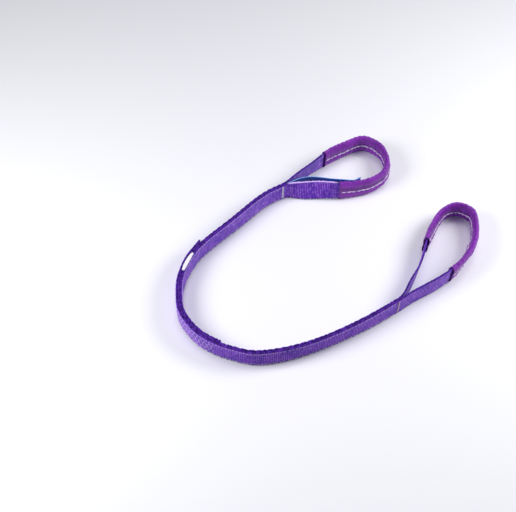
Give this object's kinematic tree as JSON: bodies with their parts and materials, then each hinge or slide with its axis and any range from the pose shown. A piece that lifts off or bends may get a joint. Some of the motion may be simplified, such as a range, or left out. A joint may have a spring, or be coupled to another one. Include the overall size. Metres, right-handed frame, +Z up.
{
  "type": "flat web sling",
  "caption": "Two-ply flat web lifting sling with a sleeved eye at each end, a sewn lap with a loose tail, and a blank label leaf, standing on the edge of its webbing.",
  "frame": {"origin": "on the ground under the middle of the sling's overall box, as it stands on the edge of its webbing", "axes": "+Z up, along the webbing's width. X and Y lie on the ground: both eyes point towards +X, and eye A is the one at +Y"},
  "size_m": [0.4156, 0.3745, 0.0332],
  "materials": {
    "webbing": "violet woven polyester webbing, ribbed across its width, with darker selvedges",
    "sleeve": "magenta-violet woven fabric tube, soft and wrinkled, drawn in along its stitching",
    "seam_thread": "light violet sewing thread",
    "white_thread": "off-white sewing thread",
    "pale_strip": "thin off-white woven tape",
    "label": "blank dark blue woven label, smooth and slightly glossy, with a lighter top edge"
  },
  "bodies": {
    "lap": {"lap_edge_strip": "pale_strip", "lap_inner_layer": "webbing", "lap_inner_lower_seam": "seam_thread", "lap_inner_upper_seam": "seam_thread", "lap_inner_zigzag": "seam_thread", "lap_middle_layer": "webbing", "lap_outer_layer": "webbing", "lap_outer_lower_seam": "seam_thread", "lap_outer_upper_seam": "seam_thread", "lap_outer_zigzag": "seam_thread"},
    "upper_body": {"crotch_a_inner_tack": "white_thread", "crotch_a_outer_tack": "white_thread", "upper_body_inner_lower_seam": "seam_thread", "upper_body_inner_ply": "webbing", "upper_body_inner_upper_seam": "seam_thread", "upper_body_outer_lower_seam": "seam_thread", "upper_body_outer_ply": "webbing", "upper_body_outer_upper_seam": "seam_thread"},
    "eye_a": {"eye_a_sleeve": "sleeve", "eye_a_sleeve_inner_stitch": "white_thread", "eye_a_sleeve_outer_stitch": "white_thread", "eye_a_web": "webbing"},
    "label": {"label_leaf": "label"},
    "tail": {"tail_web": "webbing"},
    "lower_body": {"lower_body_inner_lower_seam": "seam_thread", "lower_body_inner_ply": "webbing", "lower_body_inner_upper_seam": "seam_thread", "lower_body_outer_lower_seam": "seam_thread", "lower_body_outer_ply": "webbing", "lower_body_outer_upper_seam": "seam_thread"},
    "far_body": {"crotch_b_inner_tack": "white_thread", "crotch_b_outer_tack": "white_thread", "far_body_inner_lower_seam": "seam_thread", "far_body_inner_ply": "webbing", "far_body_inner_upper_seam": "seam_thread", "far_body_outer_lower_seam": "seam_thread", "far_body_outer_ply": "webbing", "far_body_outer_upper_seam": "seam_thread"},
    "eye_b": {"eye_b_sleeve": "sleeve", "eye_b_sleeve_inner_stitch": "white_thread", "eye_b_sleeve_outer_stitch": "white_thread", "eye_b_web": "webbing"}
  },
  "joints": [
    {"name": "upper_bend", "type": "hinge", "parent": "lap", "child": "upper_body", "pos_m": [-0.16775, -0.00184, 0], "axis": [0, 0, 1], "range_deg": [-15, 45]},
    {"name": "eye_a_swing", "type": "hinge", "parent": "upper_body", "child": "eye_a", "pos_m": [-0.064, 0.093, 0], "axis": [0, 0, 1], "range_deg": [-40, 40]},
    {"name": "label_flap", "type": "hinge", "parent": "eye_a", "child": "label", "pos_m": [-0.052, 0.1, 0], "axis": [0, 0, 1], "range_deg": [0, 15]},
    {"name": "tail_flap", "type": "hinge", "parent": "lap", "child": "tail", "pos_m": [-0.204, -0.072, 0], "axis": [0, 0, 1], "range_deg": [0, 30]},
    {"name": "lower_bend", "type": "hinge", "parent": "lap", "child": "lower_body", "pos_m": [-0.11, -0.183, 0], "axis": [0, 0, 1], "range_deg": [-45, 15]},
    {"name": "far_bend", "type": "hinge", "parent": "lower_body", "child": "far_body", "pos_m": [-0.016, -0.16097, 0], "axis": [0, 0, 1], "range_deg": [-45, 20]},
    {"name": "eye_b_swing", "type": "hinge", "parent": "far_body", "child": "eye_b", "pos_m": [0.085, -0.103, 0], "axis": [0, 0, 1], "range_deg": [-40, 30]}
  ]
}
